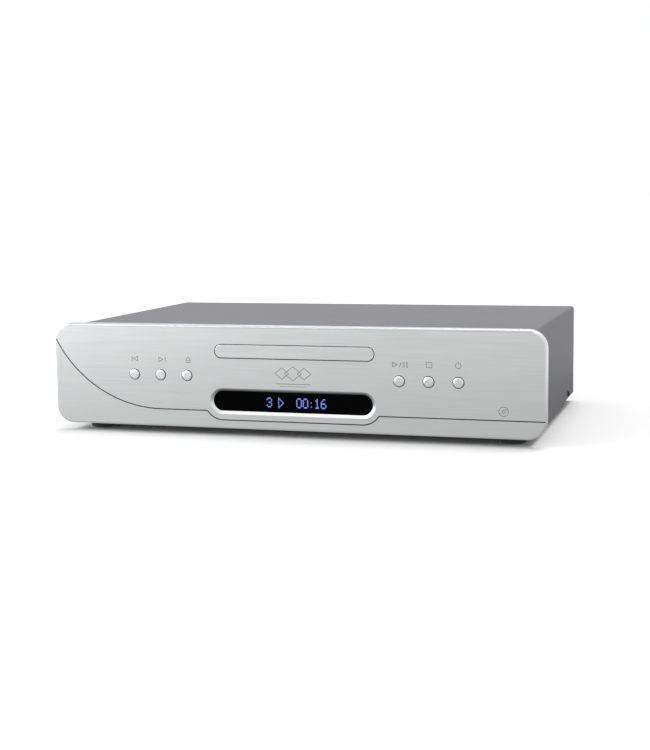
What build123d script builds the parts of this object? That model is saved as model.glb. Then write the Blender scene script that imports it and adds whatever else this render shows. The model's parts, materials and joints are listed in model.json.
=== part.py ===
from build123d import *
from math import cos, pi, radians, sin, sqrt, tan
from pathlib import Path

# CD player. X runs to the right seen from the front, Y from front to back, Z up.
# The origin is on the floor, under the middle of the whole object. Millimetres.

# ------------------------------------------------------------------ driving dimensions
PANEL_WIDTH = 440.0
PANEL_HEIGHT = 90.0
PANEL_THICK = 9.0
PANEL_CORNER = 15.5
PANEL_EDGE = 1.6
FOOT_DROP = 7.0  # floor to the panel's lower edge
COVER_SIDE_INSET = 11.5
COVER_TOP_INSET = 2.5
COVER_BOTTOM_INSET = 1.6
CASE_DEPTH = 272.0  # panel face to the cover's rear edge
SHEET = 1.2
BUTTON_PROUD = 0.8
SOCKET_REACH = 9.0

OVERALL_DEPTH = BUTTON_PROUD + CASE_DEPTH - SHEET + SOCKET_REACH
FACE = BUTTON_PROUD - OVERALL_DEPTH / 2
PANEL_BACK = FACE + PANEL_THICK
CASE_REAR = FACE + CASE_DEPTH
REAR_FACE = CASE_REAR - SHEET
CASE_TOP = FOOT_DROP + PANEL_HEIGHT - COVER_TOP_INSET
CASE_BOTTOM = FOOT_DROP + COVER_BOTTOM_INSET
CASE_HALF = PANEL_WIDTH / 2 - COVER_SIDE_INSET
DECK = CASE_BOTTOM + SHEET  # upper side of the base pan's floor
PAN_HALF = CASE_HALF - SHEET - 0.3

# Front panel features, across and up from the floor
TRAY_X, TRAY_Z = 5.2, FOOT_DROP + 67.5
TRAY_SLOT_WIDTH, TRAY_SLOT_HEIGHT = 143.7, 12.6
TRAY_GAP = 0.65
WINDOW_X, WINDOW_Z = 3.2, FOOT_DROP + 24.1
WINDOW_WIDTH, WINDOW_HEIGHT = 143.6, 17.6
WINDOW_BEVEL, WINDOW_BEVEL_DEPTH = 2.6, 1.6
BUTTON_Z = FOOT_DROP + 45.5
BUTTON_PITCH = 25.0
BUTTON_HOLE_R, BUTTON_CAP_R = 5.0, 4.35
BUTTON_BEVEL, BUTTON_BEVEL_DEPTH = 1.2, 0.4
BUTTON_TRAVEL = 0.6
BUTTONS = {
    "button_previous": -142.4,
    "button_next": -142.4 + BUTTON_PITCH,
    "button_eject": -142.4 + 2 * BUTTON_PITCH,
    "button_play": 98.0,
    "button_stop": 98.0 + BUTTON_PITCH,
    "button_standby": 98.0 + 2 * BUTTON_PITCH,
}
GROOVE_Z = FOOT_DROP + 15.3
GROOVE_WIDTH, GROOVE_DEPTH = 1.0, 0.6
GROOVE_BEND = 114.5  # big curve at the left
GROOVE_BEND_X = -118.0
GROOVE_DIP_R = 16.6  # concentric with the window's round ends
GROOVE_CORNER = 2.0

# Disc loader
SPINDLE_X, SPINDLE_Y = TRAY_X, FACE + 72.0
TRAY_HALF = 65.5
TRAY_LENGTH = 150.0
TRAY_FRONT_THICK = 4.5
TRAY_TOP, TRAY_UNDER = TRAY_Z + 5.0, TRAY_Z - 2.2
DISC_FLOOR = TRAY_Z - 0.2
DISC_RECESS_R, SMALL_RECESS_R = 60.5, 40.5
RACK_X = TRAY_X - 52.0
GEAR_Y = FACE + 28.0
LIFT_ANGLE = 3.8  # the deck hangs down by this much at rest
HINGE_Y, HINGE_Z = FACE + 179.5, 57.0
LIFT_HALF = 48.0
PEG_Y, PEG_Z = FACE + 44.5, 56.0  # front face of the lift frame, peg height when raised
CAM_SLOPE = 0.5
CAM_SLOT = 3.9
SEAT_Z = TRAY_Z + 0.7  # disc seat when raised
PICKUP_START = 24.0  # lens behind the spindle, at the disc's inner tracks
ROD_SPREAD = 23.0
SLED_RACK_X = TRAY_X + 29.8
SLED_GEAR_Y = SPINDLE_Y + 47.5

BOTTOM_ALIGN = (Align.CENTER, Align.CENTER, Align.MIN)
LOW_ALIGN = (Align.MIN, Align.MIN, Align.MIN)
LIFT_AXIS = Axis((0, HINGE_Y, HINGE_Z), (1, 0, 0))

Path("parts").mkdir(exist_ok=True)


def save(piece, name):
    """Labels a finished piece and writes it."""
    piece.part.label = name
    export_step(piece.part, f"parts/{name}.step")


def save_lowered(piece, name):
    """The same for a piece of the lift deck, which is drawn raised and level and rests lowered."""
    lowered = piece.part.rotate(LIFT_AXIS, LIFT_ANGLE)
    lowered.label = name
    export_step(lowered, f"parts/{name}.step")


def upright(y):
    """A sketch plane facing the front at y: local x is X, local y is Z, and -amount goes back."""
    return Plane.XZ.offset(-y)


def level(z):
    """A horizontal sketch plane at height z."""
    return Plane.XY.offset(z)


def block(x0, x1, y0, y1, z0, z1, mode=Mode.ADD):
    """A rectangular block between two corners, in the open part."""
    with Locations((x0, y0, z0)):
        Box(x1 - x0, y1 - y0, z1 - z0, align=LOW_ALIGN, mode=mode)


def rod(x, y, z, radius, height, mode=Mode.ADD):
    """An upright cylinder standing on (x, y, z), in the open part."""
    with Locations((x, y, z)):
        Cylinder(radius, height, align=BOTTOM_ALIGN, mode=mode)


def bar(x, y, z, radius, length, mode=Mode.ADD):
    """A cylinder running back from (x, y, z), in the open part."""
    with Locations(Location((x, y + length, z), (90, 0, 0))):
        Cylinder(radius, length, align=BOTTOM_ALIGN, mode=mode)


def gear(teeth, module, start):
    """A spur gear outline in the open sketch: a root disc and tapered teeth, the first at start degrees."""
    root, tip = module * (teeth / 2 - 1.0), module * (teeth / 2 + 0.8)
    at_pitch = 0.43 * pi * module
    at_root, at_tip = at_pitch + 2 * module * tan(radians(20)), at_pitch - 1.6 * module * tan(radians(20))
    Circle(root)
    with PolarLocations(root, teeth, start_angle=start):
        Polygon(
            (-0.2, -at_root / 2),
            (tip - root, -at_tip / 2),
            (tip - root, at_tip / 2),
            (-0.2, at_root / 2),
            align=None,
        )


def rack_teeth(x, y0, count, module):
    """Rack teeth in the open sketch, pointing to +X from pitch line x, the first centred on y0."""
    at_pitch = 0.43 * pi * module
    at_root, at_tip = at_pitch + 2 * module * tan(radians(20)), at_pitch - 1.6 * module * tan(radians(20))
    for i in range(count):
        with Locations((x, y0 + i * pi * module)):
            Polygon(
                (-module - 0.2, -at_root / 2),
                (0.8 * module, -at_tip / 2),
                (0.8 * module, at_tip / 2),
                (-module - 0.2, at_root / 2),
                align=None,
            )


# ------------------------------------------------------------------ front panel
dip_left = WINDOW_X - (WINDOW_WIDTH - WINDOW_HEIGHT) / 2
dip_right = WINDOW_X + (WINDOW_WIDTH - WINDOW_HEIGHT) / 2
corner_z = GROOVE_Z - GROOVE_CORNER
corner_dx = sqrt((GROOVE_DIP_R + GROOVE_CORNER) ** 2 - (WINDOW_Z - corner_z) ** 2)
share = GROOVE_CORNER / (GROOVE_DIP_R + GROOVE_CORNER)
touch_dx = corner_dx * (1 - share)
touch_z = corner_z + (WINDOW_Z - corner_z) * share
bend_centre_z = GROOVE_Z + GROOVE_BEND
left_end = -PANEL_WIDTH / 2 - 2
left_z = bend_centre_z - sqrt(GROOVE_BEND**2 - (left_end - GROOVE_BEND_X) ** 2)

with BuildPart() as front_panel:
    with BuildSketch(upright(FACE)):
        with Locations((0, FOOT_DROP + PANEL_HEIGHT / 2)):
            RectangleRounded(PANEL_WIDTH, PANEL_HEIGHT, PANEL_CORNER)
    extrude(amount=-PANEL_THICK)
    fillet(front_panel.faces().sort_by(Axis.Y)[0].edges(), PANEL_EDGE)
    with BuildSketch(upright(FACE)):
        with Locations((TRAY_X, TRAY_Z)):
            SlotOverall(TRAY_SLOT_WIDTH, TRAY_SLOT_HEIGHT)
        with Locations((WINDOW_X, WINDOW_Z)):
            SlotOverall(WINDOW_WIDTH, WINDOW_HEIGHT)
        for x in BUTTONS.values():
            with Locations((x, BUTTON_Z)):
                Circle(BUTTON_HOLE_R)
    extrude(amount=-PANEL_THICK, mode=Mode.SUBTRACT)
    window_rim = (
        front_panel.faces()
        .sort_by(Axis.Y)[0]
        .edges()
        .filter_by(lambda edge: abs(edge.center().Z - WINDOW_Z) < 12 and abs(edge.center().X - WINDOW_X) < 73)
    )
    chamfer(window_rim, WINDOW_BEVEL, WINDOW_BEVEL_DEPTH, reference=front_panel.faces().sort_by(Axis.Y)[0])
    with BuildSketch(upright(FACE)):
        with BuildLine():
            sweep_in = ThreePointArc(
                (left_end, left_z),
                (
                    GROOVE_BEND_X - GROOVE_BEND * sin(radians(30)),
                    bend_centre_z - GROOVE_BEND * cos(radians(30)),
                ),
                (GROOVE_BEND_X, GROOVE_Z),
            )
            run_in = Line(sweep_in @ 1, (dip_left - corner_dx, GROOVE_Z))
            corner_in = TangentArc(run_in @ 1, (dip_left - touch_dx, touch_z), tangent=(1, 0))
            dip_in = TangentArc(corner_in @ 1, (dip_left, WINDOW_Z - GROOVE_DIP_R), tangent=corner_in % 1)
            under = Line(dip_in @ 1, (dip_right, WINDOW_Z - GROOVE_DIP_R))
            dip_out = TangentArc(under @ 1, (dip_right + touch_dx, touch_z), tangent=(1, 0))
            corner_out = TangentArc(dip_out @ 1, (dip_right + corner_dx, GROOVE_Z), tangent=dip_out % 1)
            Line(corner_out @ 1, (PANEL_WIDTH / 2 + 2, GROOVE_Z))
        trace(line_width=GROOVE_WIDTH)
    extrude(amount=-GROOVE_DEPTH, mode=Mode.SUBTRACT)
    # blind tapped holes for the screws that hold the subframe
    with BuildSketch(upright(PANEL_BACK)):
        with Locations((0, FOOT_DROP + PANEL_HEIGHT / 2)):
            with GridLocations(380, 66, 2, 2):
                Circle(1.5)
    extrude(amount=6, mode=Mode.SUBTRACT)
save(front_panel, "front_panel")

with BuildPart() as display_window:
    with BuildSketch(upright(FACE + WINDOW_BEVEL_DEPTH + 0.2)):
        with Locations((WINDOW_X, WINDOW_Z)):
            SlotOverall(WINDOW_WIDTH - 0.1, WINDOW_HEIGHT - 0.1)
    extrude(amount=-3)
save(display_window, "display_window")

# ------------------------------------------------------------------ buttons and their switches
BOARD_FRONT = FACE + 21.0
BOARD_THICK = 1.6
SWITCH_DEPTH = 4.0
for name, x in BUTTONS.items():
    with BuildPart() as button:
        with BuildSketch(upright(FACE - BUTTON_PROUD)):
            with Locations((x, BUTTON_Z)):
                Circle(BUTTON_CAP_R)
        extrude(amount=-(PANEL_THICK + BUTTON_PROUD))
        chamfer(button.edges().sort_by(Axis.Y)[0], BUTTON_BEVEL_DEPTH, BUTTON_BEVEL)
        with BuildSketch(upright(PANEL_BACK + BUTTON_TRAVEL * 0.1)):
            with Locations((x, BUTTON_Z)):
                Circle(BUTTON_HOLE_R + 1.0)
        extrude(amount=-1.0)
        bar(x, PANEL_BACK, BUTTON_Z, 2.0, BOARD_FRONT - SWITCH_DEPTH - 1.0 - PANEL_BACK)
        bar(x, PANEL_BACK, BUTTON_Z, 1.4, BOARD_FRONT - SWITCH_DEPTH + 1.2 - PANEL_BACK)
    save(button, name)

with BuildPart() as tact_switches:
    for x in BUTTONS.values():
        block(x - 3, x + 3, BOARD_FRONT - SWITCH_DEPTH, BOARD_FRONT, BUTTON_Z - 3, BUTTON_Z + 3)
        bar(x, BOARD_FRONT - SWITCH_DEPTH - 0.1, BUTTON_Z, 1.75, 2.6, mode=Mode.SUBTRACT)
save(tact_switches, "tact_switches")

with BuildPart() as control_board:
    with BuildSketch(upright(BOARD_FRONT)):
        with BuildLine():
            Polyline(
                (-164, 13),
                (168, 13),
                (168, 60),
                (86, 60),
                (86, 43),
                (-80, 43),
                (-80, 60),
                (-164, 60),
                close=True,
            )
        make_face()
        with Locations((-158, 19), (162, 19), (-158, 57), (162, 57)):
            Circle(1.6, mode=Mode.SUBTRACT)
    extrude(amount=-BOARD_THICK)
    for x, width in ((-60, 24), (-20, 16), (30, 12), (118, 20)):
        block(x, x + width, BOARD_FRONT + BOARD_THICK, BOARD_FRONT + BOARD_THICK + 2, 20, 32)
save(control_board, "control_board")

with BuildPart() as display_module:
    block(WINDOW_X - 50, WINDOW_X + 50, FACE + 6, BOARD_FRONT, WINDOW_Z - 7.5, WINDOW_Z + 7.5)
    fillet(display_module.edges().filter_by(Axis.Y), 1.0)
    block(WINDOW_X - 47, WINDOW_X + 47, FACE + 5.4, FACE + 6, WINDOW_Z - 6, WINDOW_Z + 6)
save(display_module, "display_module")

# ------------------------------------------------------------------ sheet metal casing
FRAME_HALF, FRAME_TOP = PAN_HALF - SHEET - 0.3, CASE_TOP - SHEET - 0.3
with BuildPart() as front_subframe:
    block(-FRAME_HALF, FRAME_HALF, PANEL_BACK, PANEL_BACK + 1.5, DECK, FRAME_TOP)
    block(-FRAME_HALF, FRAME_HALF, PANEL_BACK, FACE + 20, FRAME_TOP - 1.5, FRAME_TOP)
    block(-FRAME_HALF, FRAME_HALF, PANEL_BACK, FACE + 20, DECK, DECK + 1.5)
    with BuildSketch(upright(PANEL_BACK)):
        with Locations((TRAY_X, TRAY_Z)):
            Rectangle(TRAY_SLOT_WIDTH + 4, TRAY_SLOT_HEIGHT + 4)
        with Locations((WINDOW_X, WINDOW_Z)):
            Rectangle(WINDOW_WIDTH + 4, WINDOW_HEIGHT + 4)
        for x in BUTTONS.values():
            with Locations((x, BUTTON_Z)):
                Circle(7.0)
        with Locations((0, FOOT_DROP + PANEL_HEIGHT / 2)):
            with GridLocations(380, 66, 2, 2):
                Circle(1.6)
    extrude(amount=-1.5, mode=Mode.SUBTRACT)
save(front_subframe, "front_subframe")

VENT_FIELDS = ((-145, -40), (-145, 78), (145, 40))
FOOT_X, FOOT_FRONT_Y, FOOT_REAR_Y = 188.0, FACE + 29.5, REAR_FACE - 34
FOOT_TOP_R, FOOT_BASE_R, FOOT_BORE_R = 12.5, 10.8, 5.5
FOOT_PLACES = {
    "foot_front_left": (-FOOT_X, FOOT_FRONT_Y),
    "foot_front_right": (FOOT_X, FOOT_FRONT_Y),
    "foot_rear_left": (-FOOT_X, FOOT_REAR_Y),
    "foot_rear_right": (FOOT_X, FOOT_REAR_Y),
}
LOWER_SCREW_X, LOWER_SCREW_Z = (-190, -60, 60, 190), DECK + 6
SIDE_SCREW_Y, SIDE_SCREW_Z = FACE + 229, 13.3
with BuildPart() as base_pan:
    block(-PAN_HALF, PAN_HALF, PANEL_BACK, REAR_FACE, CASE_BOTTOM, DECK)
    for side in (-1, 1):
        edges = sorted((side * PAN_HALF, side * (PAN_HALF - SHEET)))
        block(edges[0], edges[1], PANEL_BACK + 3, REAR_FACE - 2.5, DECK, DECK + 14)
    block(-PAN_HALF + 4, PAN_HALF - 4, REAR_FACE - 2 * SHEET, REAR_FACE - SHEET, DECK, DECK + 12)
    with BuildSketch(level(CASE_BOTTOM)):
        for centre in VENT_FIELDS:
            with Locations(centre):
                with GridLocations(38, 7, 2, 5):
                    SlotOverall(30, 3)
        with Locations(*FOOT_PLACES.values()):
            Circle(2.0)
    extrude(amount=SHEET, mode=Mode.SUBTRACT)
    for x in LOWER_SCREW_X:
        bar(x, REAR_FACE - 4, LOWER_SCREW_Z, 1.5, 3, Mode.SUBTRACT)
    for side in (-1, 1):
        with Locations(Location((side * PAN_HALF, SIDE_SCREW_Y, SIDE_SCREW_Z), (0, side * 90, 0))):
            Cylinder(1.5, 8, mode=Mode.SUBTRACT)
save(base_pan, "base_pan")

LIP = 9.5
COVER_SCREW_X = (-150, 0, 150)
COVER_SCREW_Z = CASE_TOP - 5.5
with BuildPart() as top_cover:
    block(-CASE_HALF, CASE_HALF, PANEL_BACK, CASE_REAR, CASE_BOTTOM, CASE_TOP)
    fillet(top_cover.edges().filter_by(Axis.Y).group_by(Axis.Z)[-1], 2.6)
    with BuildSketch(upright(PANEL_BACK)):
        with Locations((0, CASE_BOTTOM)):
            Rectangle(
                2 * (CASE_HALF - SHEET), CASE_TOP - SHEET - CASE_BOTTOM, align=(Align.CENTER, Align.MIN)
            )
        fillet(vertices().group_by(Axis.Y)[-1], 1.4)
    extrude(amount=-(REAR_FACE - PANEL_BACK), mode=Mode.SUBTRACT)
    inside = CASE_HALF - SHEET
    block(-inside, inside, REAR_FACE, CASE_REAR, CASE_BOTTOM, CASE_TOP - LIP, Mode.SUBTRACT)
    for x in COVER_SCREW_X:
        bar(x, REAR_FACE - 1, COVER_SCREW_Z, 1.6, 4, Mode.SUBTRACT)
    for side in (-1, 1):
        with Locations(Location((side * CASE_HALF, SIDE_SCREW_Y, SIDE_SCREW_Z), (0, side * 90, 0))):
            Cylinder(1.6, 6, mode=Mode.SUBTRACT)
save(top_cover, "top_cover")

INLET_X, INLET_Z = -150.0, 42.0
PHONO_X = (118.0, 146.0, 168.0)  # digital, left, right
PHONO_Z = 38.0
OPTICAL_X = 96.0
with BuildPart() as rear_panel:
    block(-PAN_HALF + 1.5, PAN_HALF - 1.5, REAR_FACE - SHEET, REAR_FACE, DECK, CASE_TOP - SHEET - 0.4)
    through = (REAR_FACE - 3, REAR_FACE + 1)
    block(INLET_X - 13.8, INLET_X + 13.8, *through, INLET_Z - 10, INLET_Z + 10, Mode.SUBTRACT)
    for x in (INLET_X - 20, INLET_X + 20):
        bar(x, REAR_FACE - 3, INLET_Z, 1.6, 5, Mode.SUBTRACT)
    for x in PHONO_X:
        bar(x, REAR_FACE - 3, PHONO_Z, 4.3, 5, Mode.SUBTRACT)
    block(OPTICAL_X - 5.1, OPTICAL_X + 5.1, *through, PHONO_Z - 5.1, PHONO_Z + 5.1, Mode.SUBTRACT)
    for x in COVER_SCREW_X:
        bar(x, REAR_FACE - 3, COVER_SCREW_Z, 1.5, 5, Mode.SUBTRACT)
    for x in LOWER_SCREW_X:
        bar(x, REAR_FACE - 3, LOWER_SCREW_Z, 1.6, 5, Mode.SUBTRACT)
save(rear_panel, "rear_panel")

for name, (x, y) in FOOT_PLACES.items():
    with BuildPart() as foot:
        with BuildSketch(upright(y)):
            with BuildLine():
                Polyline(
                    (x + 2.2, 4.0),
                    (x + FOOT_BORE_R, 4.0),
                    (x + FOOT_BORE_R, 0.0),
                    (x + FOOT_BASE_R, 0.0),
                    (x + FOOT_BASE_R + 0.7, 0.7),
                    (x + FOOT_TOP_R, CASE_BOTTOM),
                    (x + 2.2, CASE_BOTTOM),
                    close=True,
                )
            make_face()
        revolve(axis=Axis((x, y, 0), (0, 0, 1)))
    save(foot, name)

with BuildPart() as foot_screws:
    for x, y in FOOT_PLACES.values():
        rod(x, y, 1.4, 3.8, 2.6)
        rod(x, y, 4.0, 1.95, 10)
        with Locations((x, y, 1.4)):
            Box(5, 0.9, 1.2, mode=Mode.SUBTRACT)
            Box(0.9, 5, 1.2, mode=Mode.SUBTRACT)
save(foot_screws, "foot_screws")

REAR_SCREWS = [(x, COVER_SCREW_Z, CASE_REAR) for x in COVER_SCREW_X]
REAR_SCREWS += [(x, LOWER_SCREW_Z, REAR_FACE) for x in LOWER_SCREW_X]
REAR_SCREWS += [(INLET_X + dx, INLET_Z, REAR_FACE + 2.4) for dx in (-20, 20)]
with BuildPart() as case_screws:
    for side in (-1, 1):
        with Locations(Location((side * CASE_HALF, SIDE_SCREW_Y, SIDE_SCREW_Z), (0, side * 90, 0))):
            Cylinder(2.8, 1.7, align=BOTTOM_ALIGN)
        with Locations(Location((side * CASE_HALF, SIDE_SCREW_Y, SIDE_SCREW_Z), (0, side * -90, 0))):
            Cylinder(1.45, 6, align=BOTTOM_ALIGN)
    fillet(case_screws.faces().sort_by(Axis.X)[-1].edges(), 0.9)
    fillet(case_screws.faces().sort_by(Axis.X)[0].edges(), 0.9)
    for side in (-1, 1):
        with Locations((side * (CASE_HALF + 1.5), SIDE_SCREW_Y, SIDE_SCREW_Z)):
            Box(1.4, 3.2, 0.6, mode=Mode.SUBTRACT)
            Box(1.4, 0.6, 3.2, mode=Mode.SUBTRACT)
    for x, z, y in REAR_SCREWS:
        bar(x, y, z, 2.8, 1.7)
        bar(x, y - 6, z, 1.45, 6)
        with Locations((x, y + 1.5, z)):
            Box(3.2, 1.0, 0.6, mode=Mode.SUBTRACT)
            Box(0.6, 1.0, 3.2, mode=Mode.SUBTRACT)
save(case_screws, "case_screws")

with BuildPart() as panel_screws:
    for x in (-190, 190):
        for z in (FOOT_DROP + 12, FOOT_DROP + 78):
            bar(x, PANEL_BACK - 5, z, 1.45, 6.5)
            bar(x, PANEL_BACK + 1.5, z, 2.8, 1.8)
    for x in (-158, 162):
        for z in (19, 57):
            bar(x, PANEL_BACK + 1.5, z, 2.6, BOARD_FRONT - PANEL_BACK - 1.5)
            bar(x, BOARD_FRONT, z, 1.45, 3.0)
            bar(x, BOARD_FRONT + BOARD_THICK, z, 2.8, 1.8)
save(panel_screws, "panel_screws")

# ------------------------------------------------------------------ rear sockets
with BuildPart() as iec_inlet:
    block(INLET_X - 25, INLET_X + 25, REAR_FACE, REAR_FACE + 2.4, INLET_Z - 11.5, INLET_Z + 11.5)
    fillet(iec_inlet.edges().filter_by(Axis.Y), 5)
    block(INLET_X - 13.5, INLET_X + 13.5, REAR_FACE - 22, REAR_FACE + 2.4, INLET_Z - 9.8, INLET_Z + 9.8)
    with BuildSketch(upright(REAR_FACE + 2.4)):
        with BuildLine():
            Polyline(
                (INLET_X - 12, INLET_Z - 8),
                (INLET_X + 12, INLET_Z - 8),
                (INLET_X + 12, INLET_Z + 4),
                (INLET_X + 8, INLET_Z + 8),
                (INLET_X - 8, INLET_Z + 8),
                (INLET_X - 12, INLET_Z + 4),
                close=True,
            )
        make_face()
    extrude(amount=16, mode=Mode.SUBTRACT)
    for x in (INLET_X - 20, INLET_X + 20):
        bar(x, REAR_FACE - 1, INLET_Z, 1.6, 5, Mode.SUBTRACT)
save(iec_inlet, "iec_inlet")

with BuildPart() as iec_pins:
    for dx, dz in ((-7, -2), (0, 2), (7, -2)):
        x, z = INLET_X + dx, INLET_Z + dz
        block(x - 1, x + 1, REAR_FACE - 13.6, REAR_FACE + 0.5, z - 2, z + 2)
save(iec_pins, "iec_pins")

with BuildPart() as phono_shells:
    for x in PHONO_X:
        bar(x, REAR_FACE - 10, PHONO_Z, 4.15, SOCKET_REACH + 10)
        bar(x, REAR_FACE, PHONO_Z, 6.0, 1.2)
        bar(x, REAR_FACE - 12, PHONO_Z, 3.35, SOCKET_REACH + 13, Mode.SUBTRACT)
save(phono_shells, "phono_shells")

with BuildPart() as phono_bodies:
    for x in PHONO_X:
        bar(x, REAR_FACE - 10, PHONO_Z, 3.35, SOCKET_REACH + 9.4)
        bar(x, REAR_FACE - 1, PHONO_Z, 1.65, SOCKET_REACH + 3, Mode.SUBTRACT)
    for x in PHONO_X:
        block(x - 6, x + 6, REAR_FACE - 20, REAR_FACE - 10, 19.4, PHONO_Z + 6)
save(phono_bodies, "phono_bodies")

with BuildPart() as optical_socket:
    block(OPTICAL_X - 5, OPTICAL_X + 5, REAR_FACE - 12, REAR_FACE + 1.0, PHONO_Z - 5, PHONO_Z + 5)
    block(OPTICAL_X - 5, OPTICAL_X + 5, REAR_FACE - 12, REAR_FACE - 5, 19.4, PHONO_Z - 4)
    mouth = (OPTICAL_X - 3.4, OPTICAL_X + 3.4, REAR_FACE - 8, REAR_FACE + 2)
    block(*mouth, PHONO_Z - 3.4, PHONO_Z + 3.4, Mode.SUBTRACT)
save(optical_socket, "optical_socket")

# ------------------------------------------------------------------ electronics and power
BOARD_Z = DECK + 8.0
MAIN_BOARD_CORNERS = [(95, -55), (195, -55), (95, 104), (195, 104)]
POWER_BOARD_CORNERS = [(-195, 23), (-97, 23), (-195, 107), (-97, 107)]
with BuildPart() as main_board:
    block(90, 200, -60, REAR_FACE - 3.5, BOARD_Z, BOARD_Z + BOARD_THICK)
    with Locations(*[(x, y, BOARD_Z) for x, y in MAIN_BOARD_CORNERS]):
        Cylinder(1.6, 8, mode=Mode.SUBTRACT)
save(main_board, "main_board")

with BuildPart() as board_parts:
    top = BOARD_Z + BOARD_THICK
    for x, y, wide, deep, tall in (
        (120, -20, 14, 14, 1.6),
        (150, -20, 20, 20, 2.0),
        (150, 40, 10, 8, 1.8),
        (120, 20, 8, 16, 2.2),
        (180, -40, 20, 8, 8.0),
        (104, -52, 22, 6, 7.0),
    ):
        block(x, x + wide, y, y + deep, top, top + tall)
    for x in (128, 142, 156, 170, 184):
        for y in (66, 84):
            rod(x, y, top, 5.0, 12.5)
    for x in (130, 150, 170):
        rod(x, 10, top, 3.2, 8)
    for y in (34, 66):
        block(-116.5, -112, y + 7, y + 17, top + 6, top + 22)
    block(-190, -166, 84, 90, top, top + 18)
    block(-140, -120, 84, 96, top, top + 14)
save(board_parts, "board_parts")

with BuildPart() as power_board:
    block(-200, -92, 18, 112, BOARD_Z, BOARD_Z + BOARD_THICK)
    with Locations(*[(x, y, BOARD_Z) for x, y in POWER_BOARD_CORNERS]):
        Cylinder(1.6, 8, mode=Mode.SUBTRACT)
save(power_board, "power_board")

with BuildPart() as filter_capacitors:
    top = BOARD_Z + BOARD_THICK
    for x in (-180, -154, -128):
        for y in (38, 64):
            rod(x, y, top, 11, 36)
    fillet(filter_capacitors.faces().group_by(Axis.Z)[-1].edges(), 1.2)
save(filter_capacitors, "filter_capacitors")

with BuildPart() as heat_sinks:
    top = BOARD_Z + BOARD_THICK
    for y in (34, 66):
        block(-112, -108, y, y + 24, top, top + 30)
        for i in range(5):
            block(-108, -98, y + 1 + i * 5, y + 2.4 + i * 5, top, top + 30)
save(heat_sinks, "heat_sinks")

COIL_X, COIL_Y, COIL_Z = -144.0, -48.0, DECK + 2.0
COIL_HEIGHT = 36.0
COIL_TOP = COIL_Z + COIL_HEIGHT
with BuildPart() as toroidal_transformer:
    with BuildSketch(upright(COIL_Y)):
        with Locations((COIL_X + 30, COIL_Z + COIL_HEIGHT / 2)):
            RectangleRounded(30, COIL_HEIGHT, 9)
    revolve(axis=Axis((COIL_X, COIL_Y, COIL_Z), (0, 0, 1)))
save(toroidal_transformer, "toroidal_transformer")

with BuildPart() as transformer_pads:
    rod(COIL_X, COIL_Y, DECK, 38, 2)
    rod(COIL_X, COIL_Y, COIL_TOP, 34, 1.6)
    with Locations((COIL_X, COIL_Y, DECK)):
        Cylinder(3.2, 200, mode=Mode.SUBTRACT)
save(transformer_pads, "transformer_pads")

with BuildPart() as transformer_fixing:
    rod(COIL_X, COIL_Y, COIL_TOP + 1.6, 30, 1.8)
    rod(COIL_X, COIL_Y, COIL_TOP + 1.6, 3.2, 1.8, Mode.SUBTRACT)
    rod(COIL_X, COIL_Y, DECK, 2.95, COIL_TOP + 3.4 - DECK)
    with BuildSketch(level(COIL_TOP + 3.4)):
        with Locations((COIL_X, COIL_Y)):
            RegularPolygon(5.6, 6)
    extrude(amount=5)
save(transformer_fixing, "transformer_fixing")

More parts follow.
